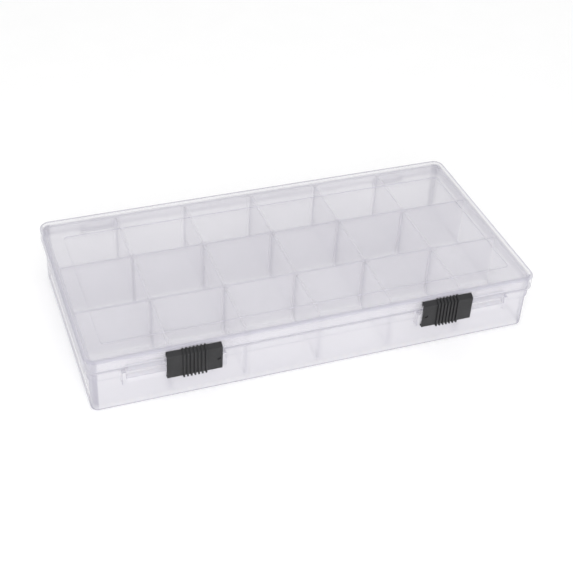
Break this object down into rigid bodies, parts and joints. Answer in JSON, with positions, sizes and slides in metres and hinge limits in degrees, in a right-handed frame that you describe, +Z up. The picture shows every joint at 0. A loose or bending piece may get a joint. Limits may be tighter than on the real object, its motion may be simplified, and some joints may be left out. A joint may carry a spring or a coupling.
{
  "type": "tackle box",
  "caption": "Shallow clear compartment box with rows of lift-out dividers, a rear-hinged lid and dark sliding front latches.",
  "frame": {"origin": "centre of the flat underside of the tray", "axes": "+X along the box, +Y towards the hinges (the latches face -Y), +Z up out of the lid"},
  "size_m": [0.232, 0.1231, 0.0324],
  "materials": {
    "clear_plastic": "clear moulded plastic, gloss",
    "latch_plastic": "satin, dark charcoal"
  },
  "bodies": {
    "tray": {"tray": "clear_plastic", "divider_front_1": "clear_plastic", "divider_front_2": "clear_plastic", "divider_front_3": "clear_plastic", "divider_front_4": "clear_plastic", "divider_front_5": "clear_plastic", "divider_middle_1": "clear_plastic", "divider_middle_2": "clear_plastic", "divider_middle_3": "clear_plastic", "divider_middle_4": "clear_plastic", "divider_middle_5": "clear_plastic", "divider_rear_1": "clear_plastic", "divider_rear_2": "clear_plastic", "divider_rear_3": "clear_plastic", "divider_rear_4": "clear_plastic", "divider_rear_5": "clear_plastic"},
    "lid": {"lid": "clear_plastic"},
    "latch_left": {"latch_left": "latch_plastic"},
    "latch_right": {"latch_right": "latch_plastic"}
  },
  "joints": [
    {"name": "lid_hinge", "type": "hinge", "parent": "tray", "child": "lid", "pos_m": [0, 0.0594, 0.0226], "axis": [-1, 0, 0], "range_deg": [0, 180]},
    {"name": "latch_left_slide", "type": "slide", "parent": "tray", "child": "latch_left", "axis": [-1, 0, 0], "range_m": [0, 0.0187]},
    {"name": "latch_right_slide", "type": "slide", "parent": "tray", "child": "latch_right", "axis": [1, 0, 0], "range_m": [0, 0.0187]}
  ]
}
